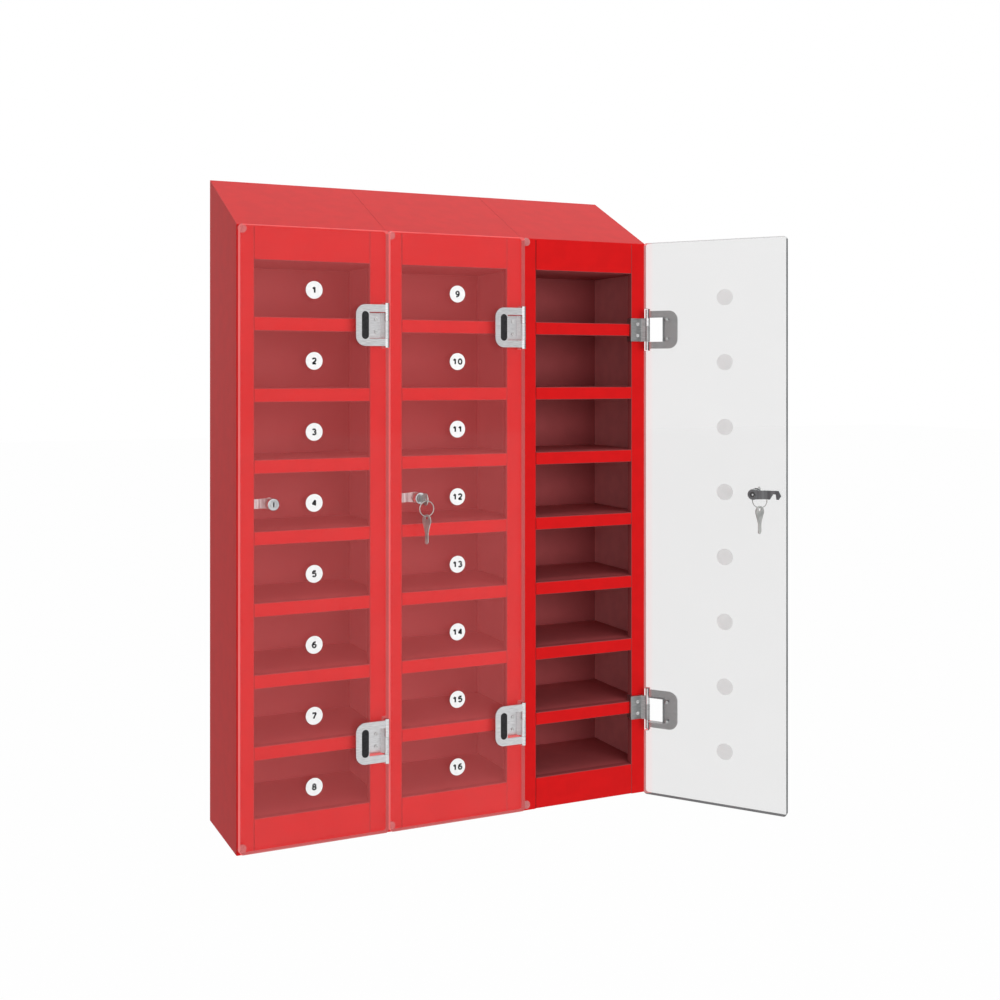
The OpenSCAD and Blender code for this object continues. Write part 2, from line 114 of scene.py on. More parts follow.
def soft_light(name, place, target, width, height, power):
    """A rectangular lamp that faces the target and isn't mirrored in the metal."""
    lamp = bpy.data.lights.new(name, "AREA")
    lamp.shape = "RECTANGLE"
    lamp.size = width
    lamp.size_y = height
    lamp.energy = power
    stand = bpy.data.objects.new(name, lamp)
    stand.location = place
    aim = Vector(target) - Vector(place)
    stand.rotation_euler = aim.to_track_quat("-Z", "Y").to_euler()
    stand.visible_glossy = False
    bpy.context.collection.objects.link(stand)


soft_light("front_light", (0.4, -3.0, 0.8), (0, 0, 0.6), width=3.0, height=1.6, power=55)
soft_light("top_light", (0, -0.4, 3.2), (0, 0, 1), width=3.0, height=2.0, power=24)


# The floor, pale and matt, well below the nest, which hangs on a wall at
# working height.
floor_half, floor_level = 30, -0.9
floor_corners = [(x * floor_half, y * floor_half, floor_level)
                 for x, y in ((-1, -1), (1, -1), (1, 1), (-1, 1))]
floor_mesh = bpy.data.meshes.new("floor")
floor_mesh.from_pydata(floor_corners, [], [(0, 1, 2, 3)])
floor = bpy.data.objects.new("floor", floor_mesh)
bpy.context.collection.objects.link(floor)
floor_paint = bpy.data.materials.new("pale_floor")
floor_paint.use_nodes = True
floor_nodes = floor_paint.node_tree.nodes
floor_links = floor_paint.node_tree.links
floor_nodes.clear()
floor_matt = floor_nodes.new("ShaderNodeBsdfDiffuse")
floor_matt.inputs["Color"].default_value = (0.8, 0.8, 0.8, 1)
floor_white = floor_nodes.new("ShaderNodeEmission")
floor_white.inputs["Strength"].default_value = 1.0
white_share = 0.985
floor_seen = seen_directly(floor_nodes, floor_links)
floor_share = calculate(floor_nodes, floor_links, "MULTIPLY", floor_seen, white_share)
floor_mix = floor_nodes.new("ShaderNodeMixShader")
floor_out = floor_nodes.new("ShaderNodeOutputMaterial")
floor_links.new(floor_share, floor_mix.inputs[0])
floor_links.new(floor_matt.outputs[0], floor_mix.inputs[1])
floor_links.new(floor_white.outputs[0], floor_mix.inputs[2])
floor_links.new(floor_mix.outputs[0], floor_out.inputs["Surface"])
floor_mesh.materials.append(floor_paint)


# The cabinets: three folded sheet-steel bodies, welded, with a satin red
# powder coat whose fine orange-peel grain breaks up the shine.
def finish_of(name, roughness, metallic=0.0, specular=0.5, alpha=1.0):
    """A new material with one principled shader, whose colour is still to be given."""
    paint = bpy.data.materials.new(name)
    paint.use_nodes = True
    shader = paint.node_tree.nodes["Principled BSDF"]
    shader.inputs["Roughness"].default_value = roughness
    shader.inputs["Metallic"].default_value = metallic
    shader.inputs["Specular IOR Level"].default_value = specular
    shader.inputs["Alpha"].default_value = alpha
    return paint, shader


def grain(paint, scale, detail=3.0, stretch=(1, 1, 1)):
    """Noise over the piece's own coordinates, in grains to the metre."""
    nodes, links = paint.node_tree.nodes, paint.node_tree.links
    place = nodes.new("ShaderNodeTexCoord")
    stretched = nodes.new("ShaderNodeMapping")
    stretched.inputs["Scale"].default_value = stretch
    noise = nodes.new("ShaderNodeTexNoise")
    noise.inputs["Scale"].default_value = scale
    noise.inputs["Detail"].default_value = detail
    links.new(place.outputs["Object"], stretched.inputs["Vector"])
    links.new(stretched.outputs["Vector"], noise.inputs["Vector"])
    return noise.outputs["Fac"]


def two_tone(paint, shader, mask, low, high):
    """Colours the shader from one tone to the other by the mask, and returns that colour."""
    nodes, links = paint.node_tree.nodes, paint.node_tree.links
    ramp = nodes.new("ShaderNodeValToRGB")
    ramp.color_ramp.elements[0].position = 0.38
    ramp.color_ramp.elements[1].position = 0.62
    ramp.color_ramp.elements[0].color = (*low, 1)
    ramp.color_ramp.elements[1].color = (*high, 1)
    links.new(mask, ramp.inputs["Fac"])
    links.new(ramp.outputs["Color"], shader.inputs["Base Color"])
    return ramp.outputs["Color"]


def bumped(paint, shader, mask, depth, strength=1.0):
    """Raises the surface by the mask, depth in metres."""
    nodes, links = paint.node_tree.nodes, paint.node_tree.links
    bump = nodes.new("ShaderNodeBump")
    bump.inputs["Distance"].default_value = depth
    bump.inputs["Strength"].default_value = strength
    links.new(mask, bump.inputs["Height"])
    links.new(bump.outputs["Normal"], shader.inputs["Normal"])


def either_colour(nodes, links, share, first, second):
    """The first colour where share is 0 and the second where it is 1."""
    choice = nodes.new("ShaderNodeMix")
    choice.data_type = "RGBA"
    links.new(share, choice.inputs["Factor"])
    for socket, colour in (("A", first), ("B", second)):
        if isinstance(colour, tuple):
            choice.inputs[socket].default_value = (*colour, 1)
        else:
            links.new(colour, choice.inputs[socket])
    return choice.outputs["Result"]


signal_red = (0.60, 0.0030, 0.0040)
# Painted shade: the darker, duller reds inside the cabinets
shaded_inner_red = (0.30, 0.055, 0.058)
shaded_shelf_red = (0.44, 0.09, 0.095)
return_back = -71 * mm


def powder_coat(name, inside, either_way=False, inner=shaded_inner_red, specular=0.15):
    """Signal red, with painted shade on faces that lean along the vector inside.

    Such a face is painted the shaded inner red as far back as the stile's return
    and beyond it has the colour called inner: painted shade, and on the right
    walls painted light."""
    paint, shader = finish_of(name, 0.55, specular=specular)
    nodes, links = paint.node_tree.nodes, paint.node_tree.links
    cloud = grain(paint, 40.0, 2.0)
    tones = []
    for red in (signal_red, shaded_inner_red, inner):
        low, high = tuple(0.97 * c for c in red), tuple(1.03 * c for c in red)
        tones.append(two_tone(paint, shader, cloud, low, high))
    outer_tone, front_tone, deep_tone = tones
    place = nodes.new("ShaderNodeTexCoord")
    lean = nodes.new("ShaderNodeVectorMath")
    lean.operation = "DOT_PRODUCT"
    lean.inputs[1].default_value = inside
    links.new(place.outputs["Normal"], lean.inputs[0])
    leaning = lean.outputs["Value"]
    if either_way:
        leaning = calculate(nodes, links, "ABSOLUTE", leaning)
    facing_in = calculate(nodes, links, "GREATER_THAN", leaning, 0.5)
    apart = nodes.new("ShaderNodeSeparateXYZ")
    links.new(place.outputs["Object"], apart.inputs[0])
    past_return = calculate(nodes, links, "GREATER_THAN", apart.outputs["Y"], return_back)
    inner_tone = either_colour(nodes, links, past_return, front_tone, deep_tone)
    tone = either_colour(nodes, links, facing_in, outer_tone, inner_tone)
    links.new(tone, shader.inputs["Base Color"])
    bumped(paint, shader, grain(paint, 900.0, 1.0), 0.00003, 0.5)
    return paint


def paint_node(node, paint):
    """Gives the node's own mesh this paint."""
    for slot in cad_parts[node].material_slots:
        slot.material = paint


# Inside, walls, shelves, bases and roof undersides are painted in shade; the right walls' inner red
# is lighter, as painted light.
coats = {
    "side_left": powder_coat("red_coat_left_side", (1, 0, 0), inner=(0.42, 0.08, 0.085)),
    "side_right": powder_coat("red_coat_right_side", (-1, 0, 0), inner=(0.80, 0.30, 0.31)),
    "base": powder_coat("red_coat_base", (0, 0, 1), inner=shaded_shelf_red),
    "back": powder_coat("red_coat_back", (0, -1, 0), inner=(0.31, 0.060, 0.063)),
    "shelves": powder_coat("red_coat_shelves", (0, 0, 1), either_way=True, inner=shaded_shelf_red),
    "roof": powder_coat("red_coat_roof", (0, 0, -1), specular=0.36)}
for column in (1, 2, 3):
    for panel in ("side_left", "side_right", "base", "back", "shelves"):
        paint_node(f"{panel}_{column}", coats[panel])


# The doors: clear plastic sheet, 12 mm thick, cut with rounded corners and a
# notch for each hinge, its edges eased and polished.
module_width = 250 * mm
depth = 168 * mm
front_height = 980 * mm
pivot = Vector((245.5 * mm, -15.4 * mm, 0))
door_turn = {1: 0, 2: 0, 3: 128}
door_front = -15 * mm
door_back = -3 * mm
hinge_heights = (826 * mm, 154 * mm)


def in_column(column):
    """From a module's own frame, with its origin at the front lower left corner, to the nest's."""
    return Matrix.Translation(((column - 2.5) * module_width, -depth / 2, 0))


def on_door(column):
    """The same for what is on its door, which is swung round the pins as far as it stands open."""
    swing = Matrix.Rotation(math.radians(door_turn[column]), 4, "Z")
    return in_column(column) @ Matrix.Translation(pivot) @ swing @ Matrix.Translation(-pivot)


def arc(x, z, radius, start, end, steps=8):
    """Points on a circle, from one angle to the other in degrees."""
    points = []
    for step in range(steps + 1):
        angle = math.radians(start + (end - start) * step / steps)
        points.append((x + radius * math.cos(angle), z + radius * math.sin(angle)))
    return points


def slab(name, outline, near, far):
    """A flat piece with this outline, seen from the front, between two depths."""
    form = bmesh.new()
    face = form.faces.new([form.verts.new((x, near, z)) for x, z in outline])
    pulled = bmesh.ops.extrude_face_region(form, geom=[face])
    for corner in pulled["geom"]:
        if isinstance(corner, bmesh.types.BMVert):
            corner.co.y = far
    bmesh.ops.recalc_face_normals(form, faces=form.faces)
    mesh = bpy.data.meshes.new(name)
    form.to_mesh(mesh)
    form.free()
    piece = bpy.data.objects.new(name, mesh)
    bpy.context.collection.objects.link(piece)
    return piece


def rod(name, x, z, radius, near, far, sides=32):
    """A round bar from front to back."""
    return slab(name, arc(x, z, radius, 0, 360 - 360 / sides, sides - 1), near, far)


def made_final(piece):
    """Applies the piece's modifiers to its mesh."""
    bpy.context.view_layer.update()
    shaped = piece.evaluated_get(bpy.context.evaluated_depsgraph_get())
    mesh = bpy.data.meshes.new_from_object(shaped)
    piece.modifiers.clear()
    piece.data = mesh
    return piece


def drilled(piece, drills):
    """Cuts the drills out of the piece and uses them up."""
    for drill in drills:
        cut = piece.modifiers.new("drill", "BOOLEAN")
        cut.operation = "DIFFERENCE"
        cut.solver = "EXACT"
        cut.object = drill
    made_final(piece)
    for drill in drills:
        bpy.data.objects.remove(drill)
    return piece


def eased(piece, width, angle=35, steps=2):
    """Rounds the piece's sharp edges off."""
    ease = piece.modifiers.new("ease", "BEVEL")
    ease.width = width
    ease.segments = steps
    ease.limit_method = "ANGLE"
    ease.angle_limit = math.radians(angle)
    ease.loop_slide = False
    return made_final(piece)


def smooth(piece, angle=30):
    """Smooth shading that keeps sharp edges sharp and large flat faces flat."""
    piece.data.polygons.foreach_set("use_smooth", [True] * len(piece.data.polygons))
    sharp = bmesh.new()
    sharp.from_mesh(piece.data)
    for edge in sharp.edges:
        if len(edge.link_faces) == 2:
            small, large = sorted(face.calc_area() for face in edge.link_faces)
            bend = edge.calc_face_angle(0)
            no_rim = bend < math.radians(3) or large < 12 * small
            edge.smooth = bend < math.radians(angle) and no_rim
    sharp.to_mesh(piece.data)
    sharp.free()
    return piece


def fitted(piece, place, body, slot, *nodes):
    """Moves the piece from the module's own frame to its place and hands it to its body."""
    piece.data.transform(place)
    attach(piece, body)
    if nodes:
        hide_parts(*nodes)
    return piece


shut_line = -106 * mm
plastic_index = 1.49


def clear_plastic(name, swung, shut, glow=0.0, polished=None):
    """Clear plastic with the cabinet's red painted on as bounce light where it is shut close before
    it.

    Swung and shut are each a haze, the share of light that it scatters back,
    two tones of that haze, and a painted glow that it gives off though it is no
    lamp; the red tones and glows paint in the cabinet's bounced light. Glow is the
    share that it scatters on, and polished the share that it mirrors."""
    paint, shader = finish_of(name, 0.5, specular=0.0)
    nodes, links = paint.node_tree.nodes, paint.node_tree.links
    where = nodes.new("ShaderNodeNewGeometry")
    apart = nodes.new("ShaderNodeSeparateXYZ")
    links.new(where.outputs["Position"], apart.inputs[0])
    is_shut = calculate(nodes, links, "GREATER_THAN", apart.outputs["Y"], shut_line)
    cloud = grain(paint, 12.0, 2.0)
    hazes, tones, lights = [], [], []
    for haze, low, high, painted_glow in (swung, shut):
        hazes.append(haze)
        tones.append(two_tone(paint, shader, cloud, low, high))
        lights.append(painted_glow)
    links.new(either_colour(nodes, links, is_shut, *tones), shader.inputs["Base Color"])
    links.new(either_colour(nodes, links, is_shut, *lights), shader.inputs["Emission Color"])
    shader.inputs["Emission Strength"].default_value = 1.0
    hazy = calculate(nodes, links, "MULTIPLY_ADD", is_shut, hazes[1] - hazes[0], hazes[0])
    glowing = calculate(nodes, links, "MULTIPLY_ADD", is_shut, -glow, glow)
    if polished is None:
        # Facets seen from within would mirror all light at a slant, so they
        # get the index the other way up
        upside_down = 1 / plastic_index - plastic_index
        index = calculate(nodes, links, "MULTIPLY_ADD",
                          where.outputs["Backfacing"], upside_down, plastic_index)
        bounce = nodes.new("ShaderNodeFresnel")
        links.new(index, bounce.inputs["IOR"])
        polished = bounce.outputs[0]
    through = nodes.new("ShaderNodeBsdfTransparent")
    through.inputs["Color"].default_value = (0.98, 0.98, 0.98, 1)
    on = nodes.new("ShaderNodeBsdfTranslucent")
    on.inputs["Color"].default_value = (0.92, 0.92, 0.92, 1)
    polish = nodes.new("ShaderNodeBsdfGlossy")
    polish.inputs["Color"].default_value = (0.33, 0.33, 0.33, 1)
    polish.inputs["Roughness"].default_value = 0.03
    surface = through.outputs[0]
    for share, layer in ((glowing, on), (hazy, shader), (polished, polish)):
        over = nodes.new("ShaderNodeMixShader")
        if isinstance(share, float):
            over.inputs[0].default_value = share
        else:
            links.new(share, over.inputs[0])
        links.new(surface, over.inputs[1])
        links.new(layer.outputs[0], over.inputs[2])
        surface = over.outputs[0]
    path = nodes.new("ShaderNodeLightPath")
    lighting = calculate(nodes, links, "MAXIMUM",
                         path.outputs["Is Shadow Ray"], path.outputs["Is Diffuse Ray"])
    unseen = nodes.new("ShaderNodeBsdfTransparent")
    passed = nodes.new("ShaderNodeMixShader")
    links.new(lighting, passed.inputs[0])
    links.new(surface, passed.inputs[1])
    links.new(unseen.outputs[0], passed.inputs[2])
    links.new(passed.outputs[0], nodes["Material Output"].inputs["Surface"])
    paint.surface_render_method = "BLENDED"
    return paint


# Painted light on the doors: the shut sheet's red tint and glow are painted red bounce light, and
# the edges carry painted shade, painted highlights and painted red glints, picked by the way each
# edge faces.
grey_sheet = (0.04, (0.45, 0.45, 0.46), (0.55, 0.55, 0.56), (0, 0, 0))
painted_red_bounce_sheet = (0.105, (0.94, 0.085, 0.085), (1.0, 0.10, 0.10), (0.34, 0.02, 0.02))
painted_shade_edge = (0.95, (0.10, 0.105, 0.11), (0.15, 0.155, 0.16), (0, 0, 0))
painted_highlight_edge = (0.60, (0.40, 0.41, 0.42), (0.50, 0.51, 0.52), (0.2, 0.2, 0.2))
painted_red_glow_edge = (0.90, (0.20, 0.10, 0.10), (0.26, 0.12, 0.12), (0.34, 0.06, 0.06))
painted_red_glint_edge = (0.90, (0.50, 0.14, 0.14), (0.60, 0.18, 0.18), (0.56, 0.10, 0.10))
edge_polish = 0.05
door_paints = {
    "sheet": clear_plastic("clear_sheet", grey_sheet, painted_red_bounce_sheet, glow=0.04),
    "cut": clear_plastic("clear_cut", painted_shade_edge, painted_red_glow_edge, polished=edge_polish),
    "free": clear_plastic("clear_free_edge", painted_shade_edge, painted_red_glint_edge, polished=edge_polish),
    "top": clear_plastic("clear_top_edge", painted_highlight_edge, painted_red_glint_edge, polished=edge_polish),
    "hinged": clear_plastic("clear_hinge_edge", painted_highlight_edge, painted_red_glow_edge, polished=edge_polish)}

lock_x, lock_z = 54.5 * mm, 544 * mm
lock_hole_r = 7.1 * mm
rivet_x = pivot.x - 38 * mm
rivet_drop = 17 * mm
rivet_hole_r = 1.85 * mm
drill_reach = 30 * mm
barrel_half = 37 * mm
window_half = 21.5 * mm
door_easing = 1.4 * mm
# Keeps the front face off the backs of the hinge plates, which lie on it
plate_room = 0.04 * mm


def door_outline():
    """The sheet's outline, with a notch for each barrel and a window behind it."""
    left, right = 1.5 * mm, module_width - 1.5 * mm
    low, high = 5 * mm, front_height - 1 * mm
    corner = 5 * mm
    inset = module_width - 9 * mm
    window = pivot.x - 31 * mm
    points = arc(left + corner, low + corner, corner, 180, 270)
    points += arc(right - corner, low + corner, corner, 270, 360)
    for height in reversed(hinge_heights):
        points += [(right, height - barrel_half), (inset, height - barrel_half),
                   (inset, height - window_half), (window, height - window_half),
                   (window, height + window_half), (inset, height + window_half),
                   (inset, height + barrel_half), (right, height + barrel_half)]
    points += arc(right - corner, high - corner, corner, 0, 90)
    points += arc(left + corner, high - corner, corner, 90, 180)
    return points


def door_part(facet):
    """Which of the door's paints, with their painted shade, highlights and glows, a facet gets by
    the way that it faces.
    """
    x, y, z = facet.normal
    if abs(y) > 0.98:
        return "sheet"
    if z > 0.2:
        return "top"
    if x < -0.2:
        return "free"
    if x > 0.2 and facet.center.x > module_width - 5 * mm:
        return "hinged"
    return "cut"


for column in (1, 2, 3):
    door = slab(f"clear_door_{column}", door_outline(), door_front + plate_room, door_back)
    drills = [rod("drill", lock_x, lock_z, lock_hole_r, -drill_reach, drill_reach)]
    for height in hinge_heights:
        for z in (height - rivet_drop, height + rivet_drop):
            drills.append(rod("drill", rivet_x, z, rivet_hole_r, -drill_reach, drill_reach))
    drilled(door, drills)
    eased(door, door_easing)
    door.data.materials.clear()
    for paint in door_paints.values():
        door.data.materials.append(paint)
    for facet in door.data.polygons:
        facet.material_index = list(door_paints).index(door_part(facet))
    smooth(door)
    body = f"door_panel_{column}"
    fitted(door, on_door(column), body, "clear_plastic", f"door_{column}")


# The number discs: thin white plastic, grey behind with a faint painted glow,
# stuck on each door in front of its eight compartments and numbered on through the nest.
disc_white, disc_shader = finish_of("white_disc", 0.35)
two_tone(disc_white, disc_shader, grain(disc_white, 200.0, 2.0),
         (0.84, 0.84, 0.84), (0.89, 0.89, 0.89))
disc_back_painted_glow, back_shader = finish_of("grey_disc_back_glow", 0.6)
two_tone(disc_back_painted_glow, back_shader, grain(disc_back_painted_glow, 200.0, 2.0),
         (0.62, 0.62, 0.62), (0.70, 0.70, 0.70))
# A painted glow lightens the grey back.
back_shader.inputs["Emission Color"].default_value = (1, 1, 1, 1)
back_shader.inputs["Emission Strength"].default_value = 0.20
numeral_black, numeral_shader = finish_of("numeral_black", 0.6, specular=0.1)
two_tone(numeral_black, numeral_shader, grain(numeral_black, 400.0, 2.0),
         (0.006, 0.006, 0.008), (0.014, 0.014, 0.017))
disc_r = 14 * mm
disc_easing = 0.15 * mm
disc_front = door_front - 0.6 * mm
disc_offset = {1: 3.5 * mm, 2: 3.5 * mm, 3: 17 * mm}
compartment_pitch = 112 * mm
disc_first = 880 * mm
digit_width, digit_height = 6.2 * mm, 8.6 * mm
digit_gap, digit_stroke = 3.5 * mm, 2.8 * mm
digit_flatness = 0.04


def bow(x, y, across, up, start, end, steps=14):
    """Points on an oval, from one angle to the other in degrees."""
    angles = [math.radians(start + (end - start) * k / steps) for k in range(steps + 1)]
    return [(x + across * math.cos(angle), y + up * math.sin(angle)) for angle in angles]


# The strokes of each digit, in shares of its width and height
digit_strokes = {
    "0": [bow(0.5, 0.5, 0.5, 0.5, 0, 360)],
    "1": [[(0.12, 0.72), (0.62, 1), (0.62, 0)]],
    "2": [bow(0.48, 0.7, 0.46, 0.3, 165, -30) + [(0.02, 0), (1, 0)]],
    "3": [bow(0.45, 0.74, 0.42, 0.26, 150, -90), bow(0.47, 0.26, 0.47, 0.26, 90, -150)],
    "4": [[(0.76, 0), (0.76, 1), (0, 0.28), (1, 0.28)]],
    "5": [[(0.92, 1), (0.18, 1), (0.08, 0.5)], bow(0.48, 0.33, 0.46, 0.33, 140, -150)],
    "6": [bow(0.5, 0.31, 0.46, 0.31, 0, 360), bow(0.72, 0.42, 0.68, 0.58, 75, 190)],
    "7": [[(0, 1), (1, 1), (0.32, 0)]],
    "8": [bow(0.5, 0.75, 0.38, 0.25, 0, 360), bow(0.5, 0.26, 0.47, 0.26, 0, 360)],
    "9": [bow(0.5, 0.69, 0.46, 0.31, 0, 360), bow(0.28, 0.58, 0.68, 0.58, 10, -105)]}


def numeral(number, x, z, front):
    """The number's strokes as flat round-ended bars, centred at this place."""
    drawn = bpy.data.curves.new("numeral", "CURVE")
    drawn.dimensions = "3D"
    drawn.bevel_depth = digit_stroke / 2
    drawn.bevel_resolution = 2
    drawn.use_fill_caps = True
    step = digit_width + digit_gap
    for place, digit in enumerate(str(number)):
        left = x - (len(str(number)) - 1) * step / 2 - digit_width / 2 + place * step
        for stroke in digit_strokes[digit]:
            for ends in zip(stroke, stroke[1:]):
                line = drawn.splines.new("POLY")
                line.points.add(1)
                for point, (across, up) in zip(line.points, ends):
                    point.co = (left + across * digit_width, 0, z + (up - 0.5) * digit_height, 1)
    stand = bpy.data.objects.new("numeral", drawn)
    bpy.context.collection.objects.link(stand)
    bpy.context.view_layer.update()
    shaped = stand.evaluated_get(bpy.context.evaluated_depsgraph_get())
    mesh = bpy.data.meshes.new_from_object(shaped)
    mesh.transform(Matrix.Translation((0, front, 0)) @ Matrix.Diagonal((1, digit_flatness, 1, 1)))
    bpy.data.objects.remove(stand)
    return mesh


for column in (1, 2, 3):
    body = f"door_panel_{column}"
    plain, marked = bmesh.new(), bmesh.new()
    for row in range(8):
        x, z = module_width / 2 - disc_offset[column], disc_first - row * compartment_pitch
        disc = eased(rod("disc", x, z, disc_r, disc_front, door_front, 64), disc_easing)
        plain.from_mesh(disc.data)
        bpy.data.objects.remove(disc)
        marked.from_mesh(numeral(8 * (column - 1) + row + 1, x, z, disc_front))
    for name, form, paints in ((f"discs_{column}", plain, (disc_white, disc_back_painted_glow)),
                               (f"numerals_{column}", marked, (numeral_black,))):
        mesh = bpy.data.meshes.new(name)
        form.to_mesh(mesh)
        form.free()
        piece = bpy.data.objects.new(name, mesh)
        bpy.context.collection.objects.link(piece)
        mesh.materials.clear()
        for paint in paints:
            mesh.materials.append(paint)
        for facet in mesh.polygons:
            facet.material_index = 1 if len(paints) == 2 and facet.normal.y > 0.9 else 0
        covered = (f"number_discs_{column}",) if len(paints) == 2 else ()
        fitted(smooth(piece), on_door(column), body, "disc_white", *covered)


# The hinges: bright steel plates and leaves, rolled round plain steel pins,
# with cross-recessed screws in the frame and domed rivets in the door.
def steel(name, low, high, roughness, brushing=(1, 1, 12), metallic=1.0):
    """A metal finish whose grain is drawn out along the brushing."""
    paint, shader = finish_of(name, roughness, metallic=metallic)
    two_tone(paint, shader, grain(paint, 90.0, 4.0, brushing), low, high)
    bumped(paint, shader, grain(paint, 700.0, 2.0, brushing), 0.00001, 0.4)
    return paint


hinge_steel = steel("hinge_steel", (0.56, 0.56, 0.57), (0.72, 0.72, 0.73), 0.34)
# Smoother steel on the barrels, a little lighter as painted highlight
rolled_steel_and_highlight = steel("rolled_steel_and_highlight", (0.64, 0.64, 0.65), (0.78, 0.78, 0.79), 0.16)
# Painted shade: the plates' backs, dark grey and matt
plate_back_shade = steel("plate_back_shade", (0.27, 0.27, 0.27), (0.32, 0.32, 0.32), 0.7, metallic=0.0)
# Painted light: the leaves' ramps to the pins, a lighter, matt copy of the steel
lit_ramp_steel = steel("lit_ramp_steel", (0.75, 0.75, 0.76), (0.85, 0.85, 0.86), 0.6, metallic=0.0)
dull_steel_and_leaf_shade = steel("dull_steel_and_leaf_shade", (0.34, 0.35, 0.35), (0.48, 0.49, 0.49), 0.4)
screw_steel = steel("screw_steel", (0.52, 0.52, 0.52), (0.64, 0.64, 0.64), 0.35, (1, 1, 1), 0.2)
zinc_steel = steel("zinc_steel", (0.40, 0.40, 0.39), (0.52, 0.52, 0.50), 0.42, (1, 1, 1))
rolled_reach, ramp_reach = 5.2 * mm, 12 * mm


def softened(node, paint, body, slot, width, angle=30, steps=2):
    """The node's own shape in its place, its sharp edges eased unless the width is 0."""
    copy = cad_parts[node].data.copy()
    form = bmesh.new()
    form.from_mesh(copy)
    bmesh.ops.remove_doubles(form, verts=form.verts, dist=1e-6)
    bmesh.ops.dissolve_limit(form, angle_limit=math.radians(0.5),
                             verts=form.verts, edges=form.edges)
    form.to_mesh(copy)
    form.free()
    piece = bpy.data.objects.new(f"{node}_finished", copy)
    bpy.context.collection.objects.link(piece)
    piece.matrix_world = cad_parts[node].matrix_world.copy()
    if width:
        eased(piece, width, angle, steps)
    piece.data.materials.clear()
    piece.data.materials.append(paint)
    smooth(piece, 40)
    return fitted(piece, Matrix.Identity(4), body, slot, node)


def faced(piece, *rules):
    """Gives the piece further paints, each to the facets for which its rule holds."""
    for number, (paint, rule) in enumerate(rules, 1):
        piece.data.materials.append(paint)
        for facet in piece.data.polygons:
            if rule(facet):
                facet.material_index = number
    return piece


def behind(column):
    """Tells whether a facet looks away from the door's front."""
    back = on_door(column).to_3x3() @ Vector((0, 1, 0))
    return lambda facet: facet.normal.dot(back) > 0.5


def round_the_pin(column, reach):
    """Tells whether a facet lies within this reach of the hinge pin."""
    pin = in_column(column) @ pivot
    return lambda facet: math.hypot(facet.center.x - pin.x, facet.center.y - pin.y) < reach


def rising(facet):
    """Tells whether a facet of the frame leaves rises from the stile to a pin."""
    near_pin = any(round_the_pin(column, ramp_reach)(facet) for column in (1, 2, 3))
    return near_pin and facet.normal.x < -0.3 and facet.normal.y < -0.2


leaves = softened("hinge_frame_leaves", hinge_steel, "cabinet", "hinge_steel", 0.6 * mm)
# The open door's frame leaf has the dull steel as painted shade; the pins and rivets are of dull
# steel.
faced(leaves, (lit_ramp_steel, rising), (dull_steel_and_leaf_shade, lambda facet: facet.center.x > 0.2))
softened("hinge_frame_screws", screw_steel, "cabinet", "screw_steel", 0.3 * mm)
paint_node("hinge_pins", dull_steel_and_leaf_shade)
paint_node("nesting_bolts", zinc_steel)
paint_node("nesting_nuts", zinc_steel)
for column in (1, 2, 3):
    body = f"door_panel_{column}"
    plates = softened(f"hinge_plates_{column}", hinge_steel, body, "hinge_steel", 0.9 * mm)
    rolled = round_the_pin(column, rolled_reach)
    faced(plates, (plate_back_shade, behind(column)), (rolled_steel_and_highlight, rolled))
    paint_node(f"plate_rivets_{column}", dull_steel_and_leaf_shade)


# The roofs: folded sheet whose cut edges stay sharp. The headers' fronts are
# duller than the slopes, and the seams between the modules are in shade.
seam_shade, seam_shader = finish_of("seam_shade", 0.7, specular=0.1)
two_tone(seam_shade, seam_shader, grain(seam_shade, 40.0, 2.0),
         (0.16, 0.01, 0.01), (0.18, 0.012, 0.012))


def in_a_seam(facet):
    """Tells whether a facet of a roof meets the next module's roof."""
    return abs(facet.normal.x) > 0.2 and abs(facet.center.x) < 0.2


for column in (1, 2, 3):
    roof = softened(f"roof_{column}", coats["roof"], "cabinet", "cabinet_red", 0)
    faced(roof, (coats["base"], lambda facet: facet.normal.y < -0.9), (seam_shade, in_a_seam))


# The cover strips: moulded black plastic, domed, pressed over the rivets on
# the door plates.
cover_black, cover_shader = finish_of("cover_black", 0.42, specular=0.2)
two_tone(cover_black, cover_shader, grain(cover_black, 300.0, 3.0),
         (0.010, 0.010, 0.011), (0.02, 0.02, 0.022))
cover_half_width, cover_half_height = 6 * mm, 22.5 * mm
cover_foot = door_front - 2 * mm
cover_rise = 1.4 * mm
cover_shoulder = 3.2 * mm
dome_steps = 6


def stadium(x, z, half_width, half_height):
    """The outline of an upright strip with round ends."""
    straight = half_height - half_width
    return (arc(x, z + straight, half_width, 0, 180, 12)
            + arc(x, z - straight, half_width, 180, 360, 12))


for column in (1, 2, 3):
    form = bmesh.new()
    for height in hinge_heights:
        rings = []
        for step in range(dome_steps + 1):
            angle = math.radians(90 * step / dome_steps)
            shrink = cover_shoulder * (1 - math.cos(angle))
            half_width, half_height = cover_half_width - shrink, cover_half_height - shrink
            outline = stadium(rivet_x, height, half_width, half_height)
            level = cover_foot - cover_rise * math.sin(angle)
            rings.append([form.verts.new((x, level, z)) for x, z in outline])
        for low, high in zip(rings, rings[1:]):
            for k in range(len(low)):
                form.faces.new((low[k - 1], low[k], high[k], high[k - 1]))
        form.faces.new(rings[-1])
        form.faces.new(list(reversed(rings[0])))
    bmesh.ops.recalc_face_normals(form, faces=form.faces)
    mesh = bpy.data.meshes.new("covers")
    form.to_mesh(mesh)
    form.free()
    covers = bpy.data.objects.new(f"cover_strips_{column}", mesh)
    bpy.context.collection.objects.link(covers)
    mesh.materials.append(cover_black)
    smooth(covers)
    body = f"door_panel_{column}"
    fitted(covers, on_door(column), body, "black_plastic", f"hinge_covers_{column}")


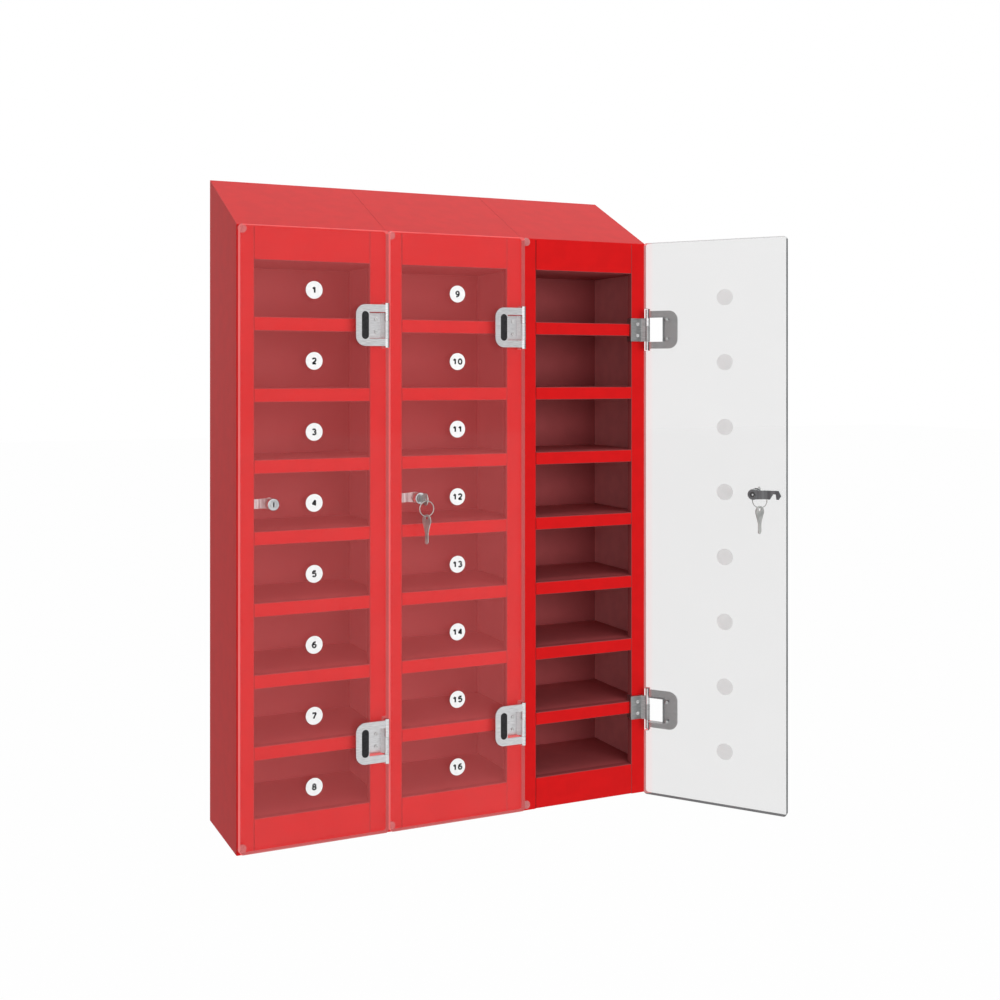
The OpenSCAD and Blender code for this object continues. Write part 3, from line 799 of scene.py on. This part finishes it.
# The buffers: clear soft discs stuck on the frame's corners, where each
# closed door's free edge comes to rest.
buffer_clear, buffer_shader = finish_of("clear_buffer", 0.3, alpha=0.6)
two_tone(buffer_clear, buffer_shader, grain(buffer_clear, 150.0, 2.0),
         (0.72, 0.22, 0.22), (0.80, 0.28, 0.28))
softened("door_buffers", buffer_clear, "cabinet", "clear_rubber", 0.7 * mm, 30, 3)


# The locks: chromed barrels through the doors, a nut behind each, and a steel
# cam, bright before and dark behind as painted shade, bolted to the plug.
lock_chrome = steel("lock_chrome", (0.50, 0.50, 0.51), (0.62, 0.62, 0.63), 0.14, (1, 1, 1))
cam_grain = (2.5, 0.1, 0.1)
cam_steel = steel("cam_steel", (0.34, 0.44, 0.45), (0.88, 0.98, 0.98), 0.4, cam_grain, 0.2)
cam_back_shade = steel("cam_back_shade", (0.07, 0.07, 0.075), (0.13, 0.13, 0.135), 0.5, cam_grain, 0.0)
bolt_black = steel("bolt_black", (0.02, 0.02, 0.02), (0.04, 0.04, 0.04), 0.5, (1, 1, 1), 0.0)
bolt_rim = 2.4 * mm
for column in (1, 2, 3):
    body = f"door_panel_{column}"
    softened(f"lock_body_{column}", lock_chrome, body, "lock_chrome", 0.4 * mm)
    softened(f"lock_nut_{column}", zinc_steel, body, "zinc_steel", 0.5 * mm)
    plug = f"plug_{column}"
    softened(f"lock_plug_{column}", lock_chrome, plug, "lock_chrome", 0.2 * mm)
    cam = softened(f"lock_cam_{column}", cam_steel, plug, "cam_steel", 0.2 * mm)
    faced(cam, (cam_back_shade, behind(column)))
    bolt = softened(f"cam_bolt_{column}", bolt_black, plug, "zinc_steel", 0.4 * mm)
    # Painted highlight: chrome in the middle of each bolt's head, inside a black rim.
    form = bmesh.new()
    form.from_mesh(bolt.data)
    back = on_door(column).to_3x3() @ Vector((0, 1, 0))
    head = max(form.faces, key=lambda face: face.calc_area() * face.normal.dot(back))
    bmesh.ops.inset_region(form, faces=[head], thickness=bolt_rim, depth=0)
    head.material_index = 1
    form.to_mesh(bolt.data)
    form.free()
    bolt.data.materials.append(lock_chrome)


# The keys: nickel-plated blanks, one in each of two locks, with a wire ring
# through its bow that carries the spare.
key_nickel = steel("key_nickel", (0.34, 0.35, 0.34), (0.50, 0.51, 0.49), 0.28, (1, 1, 1), 0.5)
key_easing = 0.25 * mm
for column in (2, 3):
    paint_node(f"key_ring_{column}", key_nickel)
    for key, body in ((f"key_{column}", f"key_in_lock_{column}"),
                      (f"spare_key_{column}", f"spare_{column}")):
        softened(key, key_nickel, body, "key_nickel", key_easing, steps=1)
